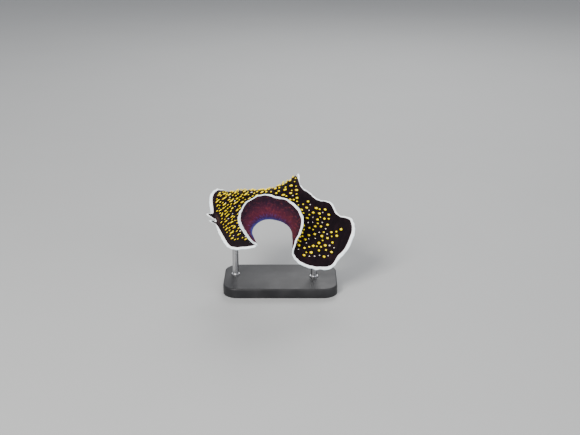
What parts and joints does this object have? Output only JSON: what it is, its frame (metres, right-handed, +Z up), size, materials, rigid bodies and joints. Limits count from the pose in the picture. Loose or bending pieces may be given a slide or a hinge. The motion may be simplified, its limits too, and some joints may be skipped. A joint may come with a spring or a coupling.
{
  "type": "gold-dotted flatworm",
  "caption": "Life-size still model of a swimming marine flatworm: a folded black sheet with a white margin and gold-tipped papillae, held up by rods on a flat base.",
  "frame": {"origin": "on the floor under the middle of the whole model's box", "axes": "+Z up, the head towards -X and the tail towards +X, the side that the picture shows towards -Y"},
  "size_m": [0.0602, 0.0312, 0.0438],
  "materials": {
    "velvet_back": "velvety matte",
    "tentacle": "velvety matte",
    "white_rim": "satin",
    "stand_base": "matte",
    "stand_rod": "satin"
  },
  "bodies": {
    "root": {"head": "velvet_back", "tail": "velvet_back", "body_front": "velvet_back", "body_forward": "velvet_back", "body_middle": "velvet_back", "body_rear": "velvet_back", "frill_left_front": "velvet_back", "frill_left_forward": "velvet_back", "frill_left_middle": "velvet_back", "frill_left_rear": "velvet_back", "frill_right_front": "velvet_back", "frill_right_forward": "velvet_back", "frill_right_middle": "velvet_back", "frill_right_rear": "velvet_back", "tentacle_left": "tentacle", "tentacle_right": "tentacle", "rim_left_front": "white_rim", "rim_left_middle": "white_rim", "rim_left_rear": "white_rim", "rim_right_front": "white_rim", "rim_right_middle": "white_rim", "rim_right_rear": "white_rim", "stand_base": "stand_base", "stand_rod_front": "stand_rod", "stand_rod_rear": "stand_rod"}
  },
  "joints": []
}
